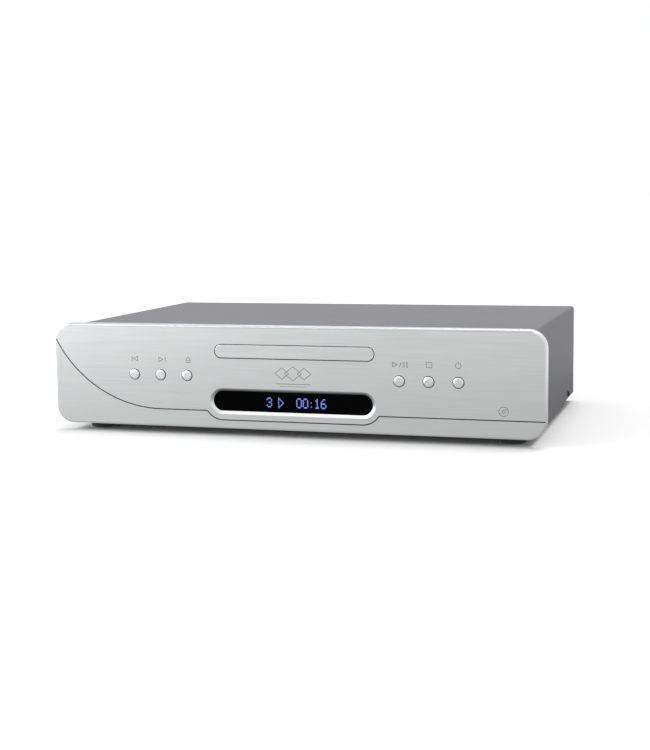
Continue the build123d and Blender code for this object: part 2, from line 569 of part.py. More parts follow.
# ------------------------------------------------------------------ disc loader chassis
LOADER_REAR = FACE + 202.0
DRIVE_X = RACK_X + 12.1
PINION_X = DRIVE_X + 18.25
MOTOR_X = PINION_X + 36.6
WALL_IN, WALL_OUT = TRAY_HALF + 0.5, TRAY_HALF + 5.0
LOADER_BASE = 36.0
LOADER_POSTS = [(TRAY_X + dx, y) for dx in (-62, 62) for y in (FACE + 36, LOADER_REAR - 10)]
SHELF_Z = 61.0
BRIDGE_Z = 84.0
TOWER_IN, TOWER_OUT = LIFT_HALF + 0.5, LIFT_HALF + 6.0
with BuildPart() as loader_chassis:
    for side in (-1, 1):
        wall = sorted((TRAY_X + side * WALL_IN, TRAY_X + side * WALL_OUT))
        block(wall[0], wall[1], FACE + 12, LOADER_REAR, SHELF_Z, BRIDGE_Z)
        block(wall[0], wall[1], FACE + 27, LOADER_REAR, LOADER_BASE, SHELF_Z)
        ledge = sorted((TRAY_X + side * (WALL_IN - 3.0), TRAY_X + side * WALL_IN))
        block(ledge[0], ledge[1], FACE + 12, LOADER_REAR, TRAY_Z - 7.5, TRAY_Z - 4.8)
        lip = sorted((TRAY_X + side * (WALL_IN - 1.6), TRAY_X + side * WALL_IN))
        block(lip[0], lip[1], FACE + 12, LOADER_REAR, TRAY_Z - 2.0, TRAY_Z + 0.4)
        tower = sorted((TRAY_X + side * TOWER_IN, TRAY_X + side * TOWER_OUT))
        block(tower[0], tower[1], HINGE_Y - 6, HINGE_Y + 6, LOADER_BASE, HINGE_Z + 5)
    block(TRAY_X - WALL_OUT, TRAY_X + WALL_OUT, FACE + 27, LOADER_REAR, LOADER_BASE, LOADER_BASE + 2)
    block(TRAY_X - WALL_OUT, TRAY_X + WALL_OUT, FACE + 12, FACE + 38, SHELF_Z, SHELF_Z + 2)
    block(TRAY_X - WALL_OUT, TRAY_X + WALL_OUT, LOADER_REAR - 3, LOADER_REAR, LOADER_BASE, SHELF_Z + 4)
    # opening below the pickup, with a cross rib left standing
    block(TRAY_X - 40, TRAY_X + 40, FACE + 60, FACE + 110, LOADER_BASE, LOADER_BASE + 2, Mode.SUBTRACT)
    block(TRAY_X - 40, TRAY_X + 40, FACE + 118, FACE + 168, LOADER_BASE, LOADER_BASE + 2, Mode.SUBTRACT)
    # channel that guides the cam slide
    block(TRAY_X - 58, TRAY_X + 58, PEG_Y - 8, PEG_Y - 5.6, LOADER_BASE, 44)
    block(TRAY_X - 58, TRAY_X + 58, PEG_Y - 2.4, PEG_Y - 0.8, LOADER_BASE, 41.0)
    # gear posts on the front shelf
    rod(DRIVE_X, GEAR_Y, SHELF_Z, 1.95, 10.6)
    rod(DRIVE_X, GEAR_Y, SHELF_Z, 3.2, 2.4)
    rod(PINION_X, GEAR_Y, SHELF_Z, 1.45, 7.3)
    rod(PINION_X, GEAR_Y, SHELF_Z, 2.6, 2.4)
    # hinge bores, motor hole, feet
    for side in (-1, 1):
        with Locations(Location((TRAY_X + side * 51, HINGE_Y, HINGE_Z), (0, 90, 0))):
            Cylinder(3.05, 12, mode=Mode.SUBTRACT)
    rod(MOTOR_X, GEAR_Y, SHELF_Z - 1, 4.0, 5, Mode.SUBTRACT)
    for x, y in LOADER_POSTS:
        rod(x, y, LOADER_BASE - 4, 5.0, 4)
        rod(x, y, LOADER_BASE - 5, 1.6, 8, Mode.SUBTRACT)
save(loader_chassis, "loader_chassis")

with BuildPart() as standoffs:
    for x, y in MAIN_BOARD_CORNERS + POWER_BOARD_CORNERS:
        with BuildSketch(level(DECK)):
            with Locations((x, y)):
                RegularPolygon(3.1, 6)
        extrude(amount=8)
        rod(x, y, DECK + 8, 1.45, BOARD_THICK + 1)
        rod(x, y, DECK + 8 + BOARD_THICK, 2.8, 1.8)
    for x, y in LOADER_POSTS:
        with BuildSketch(level(DECK)):
            with Locations((x, y)):
                RegularPolygon(4.6, 6)
        extrude(amount=LOADER_BASE - 4 - DECK)
        rod(x, y, LOADER_BASE - 4, 1.5, 6)
        rod(x, y, LOADER_BASE + 2, 2.9, 2.0)
save(standoffs, "standoffs")

with BuildPart() as clamp_bridge:
    block(TRAY_X - WALL_OUT, TRAY_X + WALL_OUT, SPINDLE_Y - 18, SPINDLE_Y + 18, BRIDGE_Z, BRIDGE_Z + 1.2)
    rod(SPINDLE_X, SPINDLE_Y, BRIDGE_Z - 1, 9.0, 4, Mode.SUBTRACT)
    for y in (SPINDLE_Y - 14.4, SPINDLE_Y + 14.4):
        block(TRAY_X - 55, TRAY_X + 55, y - 0.6, y + 0.6, BRIDGE_Z + 1.2, BRIDGE_Z + 3.2)
save(clamp_bridge, "clamp_bridge")

with BuildPart() as clamp_puck:
    rod(SPINDLE_X, SPINDLE_Y, TRAY_TOP + 0.5, 14, 2.8)
    fillet(clamp_puck.edges(), 0.5)
    rod(SPINDLE_X, SPINDLE_Y, TRAY_TOP + 2.0, 8.4, BRIDGE_Z - TRAY_TOP)
    rod(SPINDLE_X, SPINDLE_Y, BRIDGE_Z + 1.3, 12, 2.0)
    rod(SPINDLE_X, SPINDLE_Y, TRAY_TOP, 8.0, 1.2, Mode.SUBTRACT)
save(clamp_puck, "clamp_puck")

# ------------------------------------------------------------------ disc tray
TRAY_Y0 = FACE + TRAY_FRONT_THICK
TRAY_Y1 = TRAY_Y0 + TRAY_LENGTH
ARM_END = TRAY_Y1 + 30
with BuildPart() as disc_tray:
    block(TRAY_X - 63.8, TRAY_X + 63.8, TRAY_Y0, TRAY_Y1, TRAY_UNDER, TRAY_TOP)
    fillet(disc_tray.edges().filter_by(Axis.Z).group_by(Axis.Y)[-1], 6)
    for side in (-1, 1):
        flange = sorted((TRAY_X + side * 62.0, TRAY_X + side * TRAY_HALF))
        block(flange[0], flange[1], TRAY_Y0, ARM_END, TRAY_Z - 4.5, TRAY_Z - 2.3)
        arm = sorted((TRAY_X + side * 54.0, TRAY_X + side * 63.8))
        block(arm[0], arm[1], TRAY_Y0 + 4, ARM_END, TRAY_Z - 4.5, TRAY_UNDER + 0.3)
    block(RACK_X - 4.0, RACK_X - 0.9, TRAY_Y0 + 4, ARM_END, TRAY_Z - 5.2, TRAY_UNDER + 0.2)
    block(RACK_X - 8.0, RACK_X - 1.0, TRAY_Y1 - 6, ARM_END, TRAY_UNDER - 1.5, TRAY_UNDER + 0.3)
    with BuildSketch(level(TRAY_Z - 5.2)):
        rack_teeth(RACK_X, GEAR_Y - 5.5 * pi, 55, 1.0)
    extrude(amount=3.1)
    rod(SPINDLE_X, SPINDLE_Y, DISC_FLOOR, DISC_RECESS_R, 10, Mode.SUBTRACT)
    rod(SPINDLE_X, SPINDLE_Y, DISC_FLOOR - 0.9, SMALL_RECESS_R, 10, Mode.SUBTRACT)
    with BuildSketch(level(TRAY_UNDER - 4)):
        with Locations((SPINDLE_X, SPINDLE_Y)):
            Circle(19)
        with Locations((SPINDLE_X, SPINDLE_Y)):
            Rectangle(30, 61.5, align=(Align.CENTER, Align.MIN))
    extrude(amount=DISC_FLOOR + 1.2 - TRAY_UNDER + 4, mode=Mode.SUBTRACT)
    # finger notches at the sides of the recess
    for side in (-1, 1):
        with Locations((TRAY_X + side * 60, TRAY_Y0 + 8, TRAY_TOP - 1.2)):
            Cylinder(5, 3, align=BOTTOM_ALIGN, mode=Mode.SUBTRACT)
save(disc_tray, "disc_tray")

with BuildPart() as tray_front:
    with BuildSketch(upright(FACE)):
        with Locations((TRAY_X, TRAY_Z)):
            SlotOverall(TRAY_SLOT_WIDTH - 2 * TRAY_GAP, TRAY_SLOT_HEIGHT - 2 * TRAY_GAP)
    extrude(amount=-TRAY_FRONT_THICK)
    fillet(tray_front.faces().sort_by(Axis.Y)[0].edges(), 0.3)
save(tray_front, "tray_front")

# ------------------------------------------------------------------ tray drive
with BuildPart() as tray_drive_gear:
    with BuildSketch(level(TRAY_Z - 5.1)):
        with Locations((DRIVE_X, GEAR_Y)):
            gear(24, 1.0, 180)
    extrude(amount=2.4)
    with BuildSketch(level(SHELF_Z + 2.6)):
        with Locations((DRIVE_X, GEAR_Y)):
            gear(40, 0.7, 0)
    extrude(amount=2.8)
    rod(DRIVE_X, GEAR_Y, SHELF_Z + 2.6, 5.0, TRAY_Z - 5.1 - SHELF_Z)
    rod(DRIVE_X, GEAR_Y, SHELF_Z, 2.0, 20, Mode.SUBTRACT)
save(tray_drive_gear, "tray_drive_gear")

with BuildPart() as pulley_gear:
    with BuildSketch(level(SHELF_Z + 2.6)):
        with Locations((PINION_X, GEAR_Y)):
            gear(12, 0.7, 195)
    extrude(amount=3.1)
    rod(PINION_X, GEAR_Y, SHELF_Z + 5.7, 11.6, 0.4)
    rod(PINION_X, GEAR_Y, SHELF_Z + 6.1, 10.4, 1.2)
    rod(PINION_X, GEAR_Y, SHELF_Z + 7.3, 11.6, 0.4)
    rod(PINION_X, GEAR_Y, SHELF_Z, 1.5, 20, Mode.SUBTRACT)
save(pulley_gear, "pulley_gear")

with BuildPart() as motor_pulley:
    rod(MOTOR_X, GEAR_Y, SHELF_Z + 5.7, 3.7, 0.4)
    rod(MOTOR_X, GEAR_Y, SHELF_Z + 6.1, 2.7, 1.2)
    rod(MOTOR_X, GEAR_Y, SHELF_Z + 7.3, 3.7, 0.4)
    rod(MOTOR_X, GEAR_Y, SHELF_Z - 6, 0.98, 13)
save(motor_pulley, "motor_pulley")

with BuildPart() as loading_motor:
    rod(MOTOR_X, GEAR_Y, SHELF_Z - 14, 10.5, 14)
    fillet(loading_motor.edges().group_by(Axis.Z)[0], 1.0)
    rod(MOTOR_X, GEAR_Y, SHELF_Z, 3.4, 2.4)
    rod(MOTOR_X, GEAR_Y, SHELF_Z - 16, 2.5, 2)
    rod(MOTOR_X, GEAR_Y, SHELF_Z - 8, 1.02, 20, Mode.SUBTRACT)
save(loading_motor, "loading_motor")

with BuildPart() as drive_belt:
    with BuildSketch(level(SHELF_Z + 6.25)):
        with Locations((PINION_X, GEAR_Y)):
            Circle(11.7)
        with Locations((MOTOR_X, GEAR_Y)):
            Circle(4.0)
        make_hull()
        offset(amount=-1.0, mode=Mode.SUBTRACT)
    extrude(amount=0.9)
save(drive_belt, "drive_belt")

# ------------------------------------------------------------------ lift deck, drawn raised and level
REAR_BEAM = HINGE_Y + 4
GROMMET_DX, GROMMET_Y = LIFT_HALF - 8, (PEG_Y + 9, SPINDLE_Y + 82)
PLATE_Z = 62.0
ROD_Z = PLATE_Z + 4.5
with BuildPart() as lift_frame:
    block(TRAY_X - LIFT_HALF, TRAY_X + LIFT_HALF, PEG_Y, REAR_BEAM, 52, 59)
    block(
        TRAY_X - LIFT_HALF + 3.5, TRAY_X + LIFT_HALF - 3.5, PEG_Y + 3.5, REAR_BEAM - 10, 51, 60, Mode.SUBTRACT
    )
    for side in (-1, 1):
        for y in GROMMET_Y:
            x = TRAY_X + side * GROMMET_DX
            rod(x, y, 52, 5.8, 7)
            blocks = sorted((x, TRAY_X + side * (LIFT_HALF - 1)))
            block(blocks[0], blocks[1], y - 3, y + 3, 52, 59)
        with Locations(Location((TRAY_X + side * (LIFT_HALF - 2), HINGE_Y, HINGE_Z), (0, side * 90, 0))):
            Cylinder(3.0, 7.5, align=BOTTOM_ALIGN)
        with BuildSketch(Plane.YZ.offset(TRAY_X + side * (LIFT_HALF - 2))):
            with Locations((HINGE_Y, HINGE_Z)):
                Circle(3.8)
        extrude(amount=2.0 * side)
    bar(TRAY_X, PEG_Y - 5.2, PEG_Z, 1.5, 6)
    fillet(lift_frame.edges().filter_by(Axis.Z).group_by(Axis.Y)[0], 1.0)
save_lowered(lift_frame, "lift_frame")

GROMMETS = [(TRAY_X + side * GROMMET_DX, y) for side in (-1, 1) for y in GROMMET_Y]
with BuildPart() as damper_grommets:
    for x, y in GROMMETS:
        rod(x, y, 59, 4.4, 3)
        rod(x, y, PLATE_Z, 2.9, 1.2)
        rod(x, y, PLATE_Z + 1.2, 4.4, 2)
        rod(x, y, 58, 1.6, 10, Mode.SUBTRACT)
save_lowered(damper_grommets, "damper_grommets")

with BuildPart() as damper_screws:
    for x, y in GROMMETS:
        rod(x, y, 59, 1.5, 6.2)
        rod(x, y, PLATE_Z + 3.2, 3.4, 1.2)
save_lowered(damper_screws, "damper_screws")

PLATE_HALF = 44.0
SLED_GEAR_X = SLED_RACK_X + 5.1
SLED_MOTOR_Y = SLED_GEAR_Y - 10.1
with BuildPart() as traverse_plate:
    block(TRAY_X - PLATE_HALF, TRAY_X + PLATE_HALF, PEG_Y + 4.5, SPINDLE_Y + 88, PLATE_Z, PLATE_Z + 1.2)
    fillet(traverse_plate.edges().filter_by(Axis.Z), 4)
    # window under the pickup's path
    block(TRAY_X - 15, TRAY_X + 15, SPINDLE_Y + 16, SPINDLE_Y + 70, PLATE_Z - 1, PLATE_Z + 3, Mode.SUBTRACT)
    rod(SPINDLE_X, SPINDLE_Y, PLATE_Z - 1, 3.2, 4, Mode.SUBTRACT)
    for x, y in GROMMETS:
        rod(x, y, PLATE_Z - 1, 3.0, 4, Mode.SUBTRACT)
    rod(SLED_GEAR_X, SLED_MOTOR_Y, PLATE_Z - 1, 2.0, 4, Mode.SUBTRACT)
    rod(SLED_GEAR_X, SLED_GEAR_Y, PLATE_Z, 1.2, 7)
    for x in (TRAY_X - ROD_SPREAD, TRAY_X + ROD_SPREAD):
        for y in (SPINDLE_Y + 5, SPINDLE_Y + 74):
            block(x - 2.4, x + 2.4, y, y + 3.5, PLATE_Z, ROD_Z + 1.6)
            bar(x, y - 1, ROD_Z, 1.5, 8, Mode.SUBTRACT)
save_lowered(traverse_plate, "traverse_plate")

with BuildPart() as guide_rods:
    for x in (TRAY_X - ROD_SPREAD, TRAY_X + ROD_SPREAD):
        bar(x, SPINDLE_Y + 5, ROD_Z, 1.5, 72.5)
save_lowered(guide_rods, "guide_rods")

with BuildPart() as spindle_motor:
    rod(SPINDLE_X, SPINDLE_Y, PLATE_Z - 9, 12.5, 9)
    fillet(spindle_motor.edges().group_by(Axis.Z)[0], 1.0)
    rod(SPINDLE_X, SPINDLE_Y, PLATE_Z, 3.1, 3.2)
    rod(SPINDLE_X, SPINDLE_Y, PLATE_Z - 7, 1.04, 20, Mode.SUBTRACT)
save_lowered(spindle_motor, "spindle_motor")

with BuildPart() as turntable:
    rod(SPINDLE_X, SPINDLE_Y, PLATE_Z - 6, 1.0, SEAT_Z - PLATE_Z + 5)
    rod(SPINDLE_X, SPINDLE_Y, PLATE_Z + 4, 4.5, SEAT_Z - PLATE_Z - 4)
    rod(SPINDLE_X, SPINDLE_Y, SEAT_Z - 2, 15, 2)
    rod(SPINDLE_X, SPINDLE_Y, SEAT_Z, 7.4, 1.2)
    with BuildSketch(level(SEAT_Z + 1.2)):
        with Locations((SPINDLE_X, SPINDLE_Y)):
            Circle(7.4)
    extrude(amount=1.3, taper=40)
save_lowered(turntable, "turntable")

LENS_Y = SPINDLE_Y + PICKUP_START
with BuildPart() as pickup_sled:
    block(TRAY_X - 15, TRAY_X + 15, LENS_Y - 13, LENS_Y + 13, PLATE_Z + 1.8, PLATE_Z + 7)
    for side in (-1, 1):
        bar(TRAY_X + side * ROD_SPREAD, LENS_Y - 13, ROD_Z, 2.9, 26)
        link = sorted((TRAY_X + side * 14, TRAY_X + side * ROD_SPREAD))
        block(link[0], link[1], LENS_Y - 13, LENS_Y + 13, PLATE_Z + 3, PLATE_Z + 6)
    for side in (-1, 1):
        bar(TRAY_X + side * ROD_SPREAD, LENS_Y - 15, ROD_Z, 1.55, 30, Mode.SUBTRACT)
    block(TRAY_X + 25.6, SLED_RACK_X - 0.45, LENS_Y - 13, LENS_Y + 30, PLATE_Z + 3.8, PLATE_Z + 6)
    with BuildSketch(level(PLATE_Z + 3.8)):
        rack_teeth(SLED_RACK_X, SLED_GEAR_Y - 22.5 * pi / 2, 27, 0.5)
    extrude(amount=2.2)
    block(TRAY_X - 7, TRAY_X + 7, LENS_Y - 7, LENS_Y + 7, PLATE_Z + 7, SEAT_Z - 4.0)
    rod(SPINDLE_X, LENS_Y, PLATE_Z + 5, 4.2, 20, Mode.SUBTRACT)
save_lowered(pickup_sled, "pickup_sled")

with BuildPart() as objective_lens:
    rod(SPINDLE_X, LENS_Y, SEAT_Z - 5.0, 3.6, 3.0)
    rod(SPINDLE_X, LENS_Y, SEAT_Z - 2.0, 3.0, 0.5)
    fillet(objective_lens.faces().sort_by(Axis.Z)[-1].edges(), 0.3)
save_lowered(objective_lens, "objective_lens")

with BuildPart() as sled_gear:
    with BuildSketch(level(PLATE_Z + 3.4)):
        with Locations((SLED_GEAR_X, SLED_GEAR_Y)):
            gear(20, 0.5, 180)
    extrude(amount=2.8)
    with BuildSketch(level(PLATE_Z + 1.6)):
        with Locations((SLED_GEAR_X, SLED_GEAR_Y)):
            gear(30, 0.5, -90)
    extrude(amount=1.8)
    rod(SLED_GEAR_X, SLED_GEAR_Y, PLATE_Z, 1.25, 12, Mode.SUBTRACT)
save_lowered(sled_gear, "sled_gear")

with BuildPart() as sled_motor:
    rod(SLED_GEAR_X, SLED_MOTOR_Y, PLATE_Z - 10, 6.6, 10)
    fillet(sled_motor.edges().group_by(Axis.Z)[0], 0.8)
    rod(SLED_GEAR_X, SLED_MOTOR_Y, PLATE_Z, 1.9, 1.2)
    rod(SLED_GEAR_X, SLED_MOTOR_Y, PLATE_Z - 7, 0.79, 20, Mode.SUBTRACT)
save_lowered(sled_motor, "sled_motor")

with BuildPart() as sled_pinion:
    with BuildSketch(level(PLATE_Z + 1.6)):
        with Locations((SLED_GEAR_X, SLED_MOTOR_Y)):
            gear(10, 0.5, 108)
    extrude(amount=1.8)
    rod(SLED_GEAR_X, SLED_MOTOR_Y, PLATE_Z - 6, 0.75, 9)
save_lowered(sled_pinion, "sled_pinion")

# ------------------------------------------------------------------ cam slide that raises the deck
peg_back, peg_up = PEG_Y - HINGE_Y, PEG_Z - HINGE_Z
swing = radians(LIFT_ANGLE)
peg_low = HINGE_Z + peg_back * sin(swing) + peg_up * cos(swing)
CAM_TRAVEL = (PEG_Z - peg_low) / CAM_SLOPE
with BuildPart() as cam_slide:
    block(TRAY_X - 22, TRAY_X + CAM_TRAVEL + 22, PEG_Y - 5.2, PEG_Y - 2.8, LOADER_BASE + 2.3, 60)
    with BuildSketch(upright(PEG_Y - 6)):
        with BuildLine():
            Polyline(
                (TRAY_X - 3, peg_low),
                (TRAY_X, peg_low),
                (TRAY_X + CAM_TRAVEL, PEG_Z),
                (TRAY_X + CAM_TRAVEL + 3, PEG_Z),
            )
        trace(line_width=CAM_SLOT)
        with Locations((TRAY_X - 3, peg_low), (TRAY_X + CAM_TRAVEL + 3, PEG_Z)):
            Circle(CAM_SLOT / 2)
        with Locations((TRAY_X, peg_low), (TRAY_X + CAM_TRAVEL, PEG_Z)):
            Circle(CAM_SLOT / 2)
    extrude(amount=-4, mode=Mode.SUBTRACT)
save(cam_slide, "cam_slide")

# ------------------------------------------------------------------ internal ribbon cables
with BuildPart() as ribbon_cables:
    with BuildSketch(Plane.YZ.offset(104)):
        with BuildLine():
            FilletPolyline(
                (BOARD_FRONT + BOARD_THICK + 2, 26),
                (BOARD_FRONT + 14, 26),
                (BOARD_FRONT + 22, 12),
                (-78, 12),
                (-64, 33),
                (-49, 33),
                (-49, BOARD_Z + BOARD_THICK + 7),
                radius=3,
            )
        trace(line_width=0.7)
    extrude(amount=20)
    with BuildSketch(upright(20)):
        with BuildLine():
            FilletPolyline(
                (TRAY_X + WALL_OUT, 46),
                (TRAY_X + WALL_OUT + 8, 46),
                (TRAY_X + WALL_OUT + 17, 58),
                (TRAY_X + WALL_OUT + 34, 58),
                (TRAY_X + WALL_OUT + 34, BOARD_Z + BOARD_THICK + 2),
                radius=3,
            )
        trace(line_width=0.7)
    extrude(amount=-14)
save(ribbon_cables, "ribbon_cables")
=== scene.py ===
import json
from math import cos, hypot, radians, sin

import bmesh
import bpy
from mathutils import Matrix, Vector


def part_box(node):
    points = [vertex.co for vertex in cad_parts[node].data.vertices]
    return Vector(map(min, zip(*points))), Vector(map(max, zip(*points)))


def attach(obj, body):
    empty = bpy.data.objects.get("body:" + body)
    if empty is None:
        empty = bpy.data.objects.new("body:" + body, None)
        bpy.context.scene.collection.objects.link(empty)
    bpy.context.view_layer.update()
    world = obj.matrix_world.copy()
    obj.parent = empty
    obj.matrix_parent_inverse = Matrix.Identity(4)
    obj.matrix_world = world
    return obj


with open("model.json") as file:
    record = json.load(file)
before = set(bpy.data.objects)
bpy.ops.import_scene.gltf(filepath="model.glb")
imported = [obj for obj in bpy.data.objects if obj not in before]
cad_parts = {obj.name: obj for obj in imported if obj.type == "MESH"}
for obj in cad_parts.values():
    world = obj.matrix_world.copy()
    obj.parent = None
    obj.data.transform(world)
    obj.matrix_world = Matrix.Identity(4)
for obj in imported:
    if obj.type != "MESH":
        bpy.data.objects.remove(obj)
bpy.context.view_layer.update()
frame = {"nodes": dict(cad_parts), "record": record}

MM = 0.001
NODES = frame["nodes"]

# ------------------------------------------------------------------ places on the object
PANEL_LO, PANEL_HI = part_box("front_panel")
FACE = PANEL_LO[1]
PANEL_X = (PANEL_LO[0] + PANEL_HI[0]) / 2
PANEL_Z = PANEL_LO[2]
PANEL_ORIGIN = (PANEL_X, FACE, PANEL_Z)
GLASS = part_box("display_window")[0][1]
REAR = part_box("rear_panel")[1][1]


def add_object(name, data):
    """A new object in the scene with that data."""
    thing = bpy.data.objects.new(name, data)
    bpy.context.scene.collection.objects.link(thing)
    return thing


# ------------------------------------------------------------------ camera
# these come from the fit of the panel's and the cover's edges to the photograph
LENS = 65.331
SHIFT_X, SHIFT_Y = 0.01913, -0.02178
CAMERA_PLACE = (371.682, -1228.254, 204.815)  # mm
AZIMUTH, ELEVATION, ROLL = 17.848, 6.734, -0.867  # degrees


def look(azimuth, elevation, roll):
    """The camera's rotation: azimuth turns it round the object to the right, elevation lifts it."""
    a, e, r = radians(azimuth), radians(elevation), radians(roll)
    back = Vector((sin(a) * cos(e), -cos(a) * cos(e), sin(e)))
    right = Vector((0, 0, 1)).cross(back).normalized()
    up = back.cross(right)
    across = right * cos(r) + up * sin(r)
    upward = up * cos(r) - right * sin(r)
    return Matrix((across, upward, back)).transposed().to_4x4()


camera_data = bpy.data.cameras.new("camera")
camera_data.sensor_fit = "AUTO"
camera_data.sensor_width = 36.0
camera_data.lens = LENS
camera_data.shift_x, camera_data.shift_y = SHIFT_X, SHIFT_Y
camera_data.clip_start, camera_data.clip_end = 0.05, 200.0
camera = add_object("camera", camera_data)
camera.matrix_world = Matrix.Translation(Vector(CAMERA_PLACE) * MM) @ look(AZIMUTH, ELEVATION, ROLL)
bpy.context.scene.camera = camera

# ------------------------------------------------------------------ material tools
NOISE_RANGE = (0.3, 0.7)  # nearly all of a noise's values lie in it


class Nodes:
    """A material's node tree, with short calls for the nodes that the finishes below share."""

    def __init__(self, name):
        self.material = bpy.data.materials.new(name)
        self.material.use_nodes = True
        self.tree = self.material.node_tree
        self.shader = self.tree.nodes["Principled BSDF"]
        self.coords = self.tree.nodes.new("ShaderNodeTexCoord").outputs["Object"]

    def link(self, source, target):
        """Feed one socket from another."""
        self.tree.links.new(source, target)

    def new(self, kind, **settings):
        """A new node with those settings."""
        node = self.tree.nodes.new(kind)
        for key, value in settings.items():
            setattr(node, key, value)
        return node

    def parts(self, vector=None):
        """x, y and z of a vector, or of the object coordinates."""
        node = self.new("ShaderNodeSeparateXYZ")
        self.link(vector or self.coords, node.inputs[0])
        return node.outputs

    def stretched(self, scale, origin=(0, 0, 0)):
        """Object coordinates from origin, times scale."""
        node = self.new("ShaderNodeMapping")
        node.inputs["Scale"].default_value = scale
        node.inputs["Location"].default_value = [-o * s for o, s in zip(origin, scale)]
        self.link(self.coords, node.inputs["Vector"])
        return node.outputs["Vector"]

    def in_mm(self, origin):
        """x, y and z in mm from an origin in metres."""
        return self.parts(self.stretched((1 / MM, 1 / MM, 1 / MM), origin))

    def noise(self, grains, detail=3.0, roughness=0.55, seed=(0, 0, 0)):
        """Noise from 0 to 1 with so many grains per metre, given for all the axes or for each."""
        node = self.new("ShaderNodeTexNoise")
        node.inputs["Scale"].default_value = 1.0
        node.inputs["Detail"].default_value = detail
        node.inputs["Roughness"].default_value = roughness
        scale = grains if isinstance(grains, tuple) else (grains, grains, grains)
        self.link(self.stretched(scale, seed), node.inputs["Vector"])
        return node.outputs["Fac"]

    def math(self, operation, a, b=None):
        """The result of a math node; a and b are sockets or numbers."""
        node = self.new("ShaderNodeMath", operation=operation)
        for socket, value in zip(node.inputs, (a, b)):
            if isinstance(value, (int, float)):
                socket.default_value = value
            elif value is not None:
                self.link(value, socket)
        return node.outputs[0]

    def length(self, a, b):
        """How far a point at a and b is from the origin."""
        return self.math("SQRT", self.math("ADD", self.math("MULTIPLY", a, a), self.math("MULTIPLY", b, b)))

    def blend(self, share, a, b):
        """a's share of the sum, and b's the rest."""
        return self.math("ADD", self.math("MULTIPLY", a, share), self.math("MULTIPLY", b, 1.0 - share))

    def every(self, *masks):
        """1 where all the masks are 1."""
        held = masks[0]
        for mask in masks[1:]:
            held = self.math("MULTIPLY", held, mask)
        return held

    def span(self, value, low, high, to_low=0.0, to_high=1.0):
        """value from low..high taken to to_low..to_high, and held beyond."""
        node = self.new("ShaderNodeMapRange", clamp=True)
        self.link(value, node.inputs["Value"])
        for key, number in (("From Min", low), ("From Max", high), ("To Min", to_low), ("To Max", to_high)):
            node.inputs[key].default_value = number
        return node.outputs["Result"]

    def mix(self, factor, a, b):
        """Colour a at factor 0 and b at 1; each is a socket or an RGB triple."""
        node = self.new("ShaderNodeMix", data_type="RGBA")
        self.link(factor, node.inputs[0])
        for socket, value in ((node.inputs[6], a), (node.inputs[7], b)):
            if isinstance(value, (tuple, list)):
                socket.default_value = (*value, 1.0)
            else:
                self.link(value, socket)
        return node.outputs[2]

    def varied(self, noise, low, high):
        """A value that goes from low to high with the noise."""
        return self.span(noise, *NOISE_RANGE, low, high)

    def tone(self, noise, dark, light):
        """A colour that goes from dark to light with the noise."""
        return self.mix(self.span(noise, *NOISE_RANGE), dark, light)

    def bump(self, height, distance, strength=1.0):
        """Raise the surface where height is 1, by distance in metres."""
        node = self.new("ShaderNodeBump")
        node.inputs["Distance"].default_value = distance
        node.inputs["Strength"].default_value = strength
        self.link(height, node.inputs["Height"])
        self.link(node.outputs["Normal"], self.shader.inputs["Normal"])

    def set(self, **values):
        """The shader's inputs, with _ for a space in a name; each is a socket, an RGB triple or a number."""
        for key, value in values.items():
            socket = self.shader.inputs[key.replace("_", " ")]
            if isinstance(value, bpy.types.NodeSocket):
                self.link(value, socket)
            elif isinstance(value, (tuple, list)):
                socket.default_value = (*value, 1.0)
            else:
                socket.default_value = value


BLOTCHES = 15.0  # per metre
BLOTCH_SEED = (0.3, 0.1, 0.7)


def grained(name, dark, light, metallic, roughness, grain, bump, **extra):
    """A finish whose colour varies from dark to light with a fine grain over a wide, faint blotch."""
    n = Nodes(name)
    fine = n.noise(grain, 4.0)
    wide = n.noise(BLOTCHES, 2.0, seed=BLOTCH_SEED)
    n.set(Base_Color=n.tone(n.blend(0.55, fine, wide), dark, light), Metallic=metallic,
          Roughness=n.varied(fine, *roughness), **extra)
    n.bump(fine, bump)
    return n.material


# ------------------------------------------------------------------ finishes
# places on the panel, in mm: across from its middle, up from its lower edge, in from its face
GROOVE_Z = 15.3
GROOVE_HALF = 0.62  # half its width
GROOVE_BEND, GROOVE_BEND_X = 114.5, -118.0  # the radius of its bend, and where the bend begins
DIP_R, DIP_X, DIP_Z, DIP_HALF = 16.6, 3.2, 24.1, 63.0  # its dip: end radius, middle, half its straight
PANEL_RIM_X = 219.0
GAPS_X, GAPS_LOW, GAPS_HIGH = 165.0, 37.0, 80.0  # the tray slot and the button holes lie inside these
BEVEL_X, BEVEL_HIGH, BEVEL_DEPTH = 80.0, 34.0, 1.3  # the window's bevel
# the top edge's rounding, in mm up from the lower edge, painted darker as painted shade that dims its
# highlight
TOP_EDGE = (87.2, 88.9)
# in from the face, in mm: where painted shade begins in the groove, in the gaps and on the window's bevel
GROOVE_SHADE_DEPTH, GAP_SHADE_DEPTH, BEVEL_START = 0.22, 0.3, 0.02
BUTTON_SHADE_DEPTH = 1.0  # in from a button's face
RING_RATE = 24.0  # radians for each mm of a button's radius
UNDERSIDE = 9.0 * MM  # the base pan's lower surfaces are below it
TAPE_TURNS, TAPE_EDGE = 34.0, 0.07  # turns round the ring, and the dark share of each


